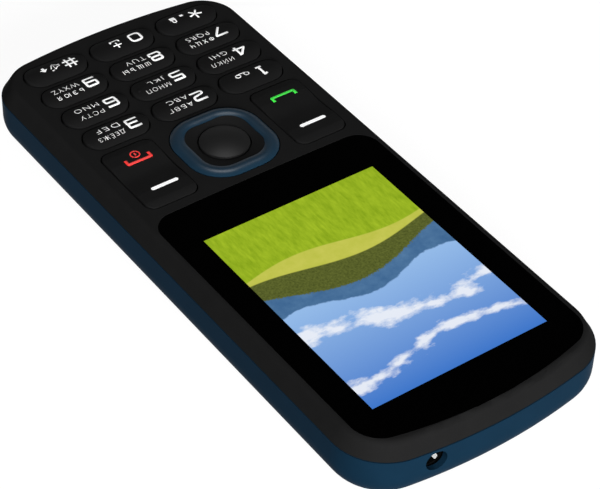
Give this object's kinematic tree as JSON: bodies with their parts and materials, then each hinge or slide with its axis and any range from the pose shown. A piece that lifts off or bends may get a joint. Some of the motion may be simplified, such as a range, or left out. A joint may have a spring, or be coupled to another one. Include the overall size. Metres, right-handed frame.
{
  "type": "feature phone",
  "caption": "Bar-shaped keypad phone with a colour screen, sprung keys, tilting navigation ring, lift-off rear cover and removable battery.",
  "frame": {"origin": "middle of the rear face, on the surface that the phone lies on", "axes": "+X to the phone's right as its screen is read, +Y towards the display end, +Z out of the screen"},
  "size_m": [0.053, 0.1252, 0.0138],
  "materials": {
    "frame_black": "fine matte moulded plastic",
    "window_glass": "glossy black-printed window, clear over the screen",
    "tape_black": "foam tape",
    "lcd_glass": "lit colour screen",
    "backlight_white": "white light guide",
    "holder_steel": "thin stamped sheet",
    "cable_amber": "amber film cable",
    "key_black": "satin black key plastic",
    "ring_blue": "satin blue lacquer",
    "inlay_black": "satin black plastic",
    "rubber_grey": "silicone rubber",
    "dome_steel": "film with steel domes",
    "light_white": "small white lamps",
    "board_green": "green solder mask",
    "shield_steel": "tinned steel sheet",
    "chip_black": "moulded chip",
    "chassis_black": "matte moulded plastic",
    "cover_blue": "satin dark blue plastic",
    "battery_grey": "wrapped cell",
    "connector_black": "moulded black plastic",
    "contact_gold": "plated spring contact",
    "card_white": "white card plastic",
    "weight_grey": "sintered heavy metal",
    "screw_steel": "black-passivated steel",
    "antenna_copper": "copper strip"
  },
  "bodies": {
    "main_body": {"front_frame": "frame_black", "display_window": "window_glass", "window_tape": "tape_black", "lcd_cell": "lcd_glass", "backlight": "backlight_white", "lcd_holder": "holder_steel", "lcd_cable": "cable_amber", "dome_sheet": "dome_steel", "key_lights": "light_white", "keypad_mat": "rubber_grey", "main_board": "board_green", "shield_can": "shield_steel", "board_chips": "chip_black", "chassis": "chassis_black", "battery_connector": "connector_black", "sim_holder_1": "shield_steel", "sim_holder_2": "shield_steel", "headphone_socket": "connector_black", "jack_contact": "contact_gold", "charging_socket": "shield_steel", "loudspeaker": "connector_black", "earpiece": "shield_steel", "microphone": "shield_steel", "vibration_motor": "shield_steel", "case_screws": "screw_steel", "antenna_strip": "antenna_copper"},
    "key_1_body": {"key_1": "key_black"},
    "key_2_body": {"key_2": "key_black"},
    "key_3_body": {"key_3": "key_black"},
    "key_4_body": {"key_4": "key_black"},
    "key_5_body": {"key_5": "key_black"},
    "key_6_body": {"key_6": "key_black"},
    "key_7_body": {"key_7": "key_black"},
    "key_8_body": {"key_8": "key_black"},
    "key_9_body": {"key_9": "key_black"},
    "key_star_body": {"key_star": "key_black"},
    "key_0_body": {"key_0": "key_black"},
    "key_hash_body": {"key_hash": "key_black"},
    "function_key_left_body": {"function_key_left": "key_black"},
    "function_key_right_body": {"function_key_right": "key_black"},
    "nav_pad_body": {"nav_pad": "rubber_grey"},
    "nav_ring_body": {"nav_ring": "ring_blue", "nav_inlay": "inlay_black"},
    "ok_key_body": {"ok_key": "key_black"},
    "rear_cover_body": {"rear_cover": "cover_blue"},
    "battery_body": {"battery": "battery_grey"},
    "sim_card_1_body": {"sim_card_1": "card_white"},
    "sim_card_2_body": {"sim_card_2": "card_white"},
    "motor_weight_body": {"motor_weight": "weight_grey"}
  },
  "joints": [
    {"name": "key_1_press", "type": "slide", "parent": "main_body", "child": "key_1_body", "axis": [0, 0, -1], "range_m": [0, 0.0003], "stiffness_N_per_m": 5000},
    {"name": "key_2_press", "type": "slide", "parent": "main_body", "child": "key_2_body", "axis": [0, 0, -1], "range_m": [0, 0.0003], "stiffness_N_per_m": 5000},
    {"name": "key_3_press", "type": "slide", "parent": "main_body", "child": "key_3_body", "axis": [0, 0, -1], "range_m": [0, 0.0003], "stiffness_N_per_m": 5000},
    {"name": "key_4_press", "type": "slide", "parent": "main_body", "child": "key_4_body", "axis": [0, 0, -1], "range_m": [0, 0.0003], "stiffness_N_per_m": 5000},
    {"name": "key_5_press", "type": "slide", "parent": "main_body", "child": "key_5_body", "axis": [0, 0, -1], "range_m": [0, 0.0003], "stiffness_N_per_m": 5000},
    {"name": "key_6_press", "type": "slide", "parent": "main_body", "child": "key_6_body", "axis": [0, 0, -1], "range_m": [0, 0.0003], "stiffness_N_per_m": 5000},
    {"name": "key_7_press", "type": "slide", "parent": "main_body", "child": "key_7_body", "axis": [0, 0, -1], "range_m": [0, 0.0003], "stiffness_N_per_m": 5000},
    {"name": "key_8_press", "type": "slide", "parent": "main_body", "child": "key_8_body", "axis": [0, 0, -1], "range_m": [0, 0.0003], "stiffness_N_per_m": 5000},
    {"name": "key_9_press", "type": "slide", "parent": "main_body", "child": "key_9_body", "axis": [0, 0, -1], "range_m": [0, 0.0003], "stiffness_N_per_m": 5000},
    {"name": "key_star_press", "type": "slide", "parent": "main_body", "child": "key_star_body", "axis": [0, 0, -1], "range_m": [0, 0.0003], "stiffness_N_per_m": 5000},
    {"name": "key_0_press", "type": "slide", "parent": "main_body", "child": "key_0_body", "axis": [0, 0, -1], "range_m": [0, 0.0003], "stiffness_N_per_m": 5000},
    {"name": "key_hash_press", "type": "slide", "parent": "main_body", "child": "key_hash_body", "axis": [0, 0, -1], "range_m": [0, 0.0003], "stiffness_N_per_m": 5000},
    {"name": "function_key_left_rock", "type": "hinge", "parent": "main_body", "child": "function_key_left_body", "pos_m": [-0.0164, -0.01876, 0.01225], "axis": [1, 0, 0], "range_deg": [-1.8, 1.8], "stiffness_Nm_per_rad": 0.2},
    {"name": "function_key_right_rock", "type": "hinge", "parent": "main_body", "child": "function_key_right_body", "pos_m": [0.0164, -0.01876, 0.01225], "axis": [1, 0, 0], "range_deg": [-1.8, 1.8], "stiffness_Nm_per_rad": 0.2},
    {"name": "nav_up_down", "type": "hinge", "parent": "main_body", "child": "nav_pad_body", "pos_m": [0, -0.01876, 0.01225], "axis": [1, 0, 0], "range_deg": [-1.8, 1.8], "stiffness_Nm_per_rad": 0.2},
    {"name": "nav_left_right", "type": "hinge", "parent": "nav_pad_body", "child": "nav_ring_body", "pos_m": [0, -0.01876, 0.01225], "axis": [0, 1, 0], "range_deg": [-1.8, 1.8], "stiffness_Nm_per_rad": 0.2},
    {"name": "ok_press", "type": "slide", "parent": "main_body", "child": "ok_key_body", "axis": [0, 0, -1], "range_m": [0, 0.0003], "stiffness_N_per_m": 5000},
    {"name": "rear_cover_off", "type": "slide", "parent": "main_body", "child": "rear_cover_body", "axis": [0, 0, -1], "range_m": [0, 0.03]},
    {"name": "battery_out", "type": "slide", "parent": "main_body", "child": "battery_body", "axis": [0, 0, -1], "range_m": [0, 0.015]},
    {"name": "sim_card_1_out", "type": "slide", "parent": "main_body", "child": "sim_card_1_body", "axis": [0, 1, 0], "range_m": [0, 0.012]},
    {"name": "sim_card_2_out", "type": "slide", "parent": "main_body", "child": "sim_card_2_body", "axis": [0, 1, 0], "range_m": [0, 0.012]},
    {"name": "vibration_spin", "type": "hinge", "parent": "main_body", "child": "motor_weight_body", "pos_m": [-0.01, 0.046, 0.005], "axis": [1, 0, 0], "continuous": true}
  ],
  "couplings": [
    {"joint": "battery_out", "follows": "rear_cover_off", "ratio": 0.5}
  ]
}
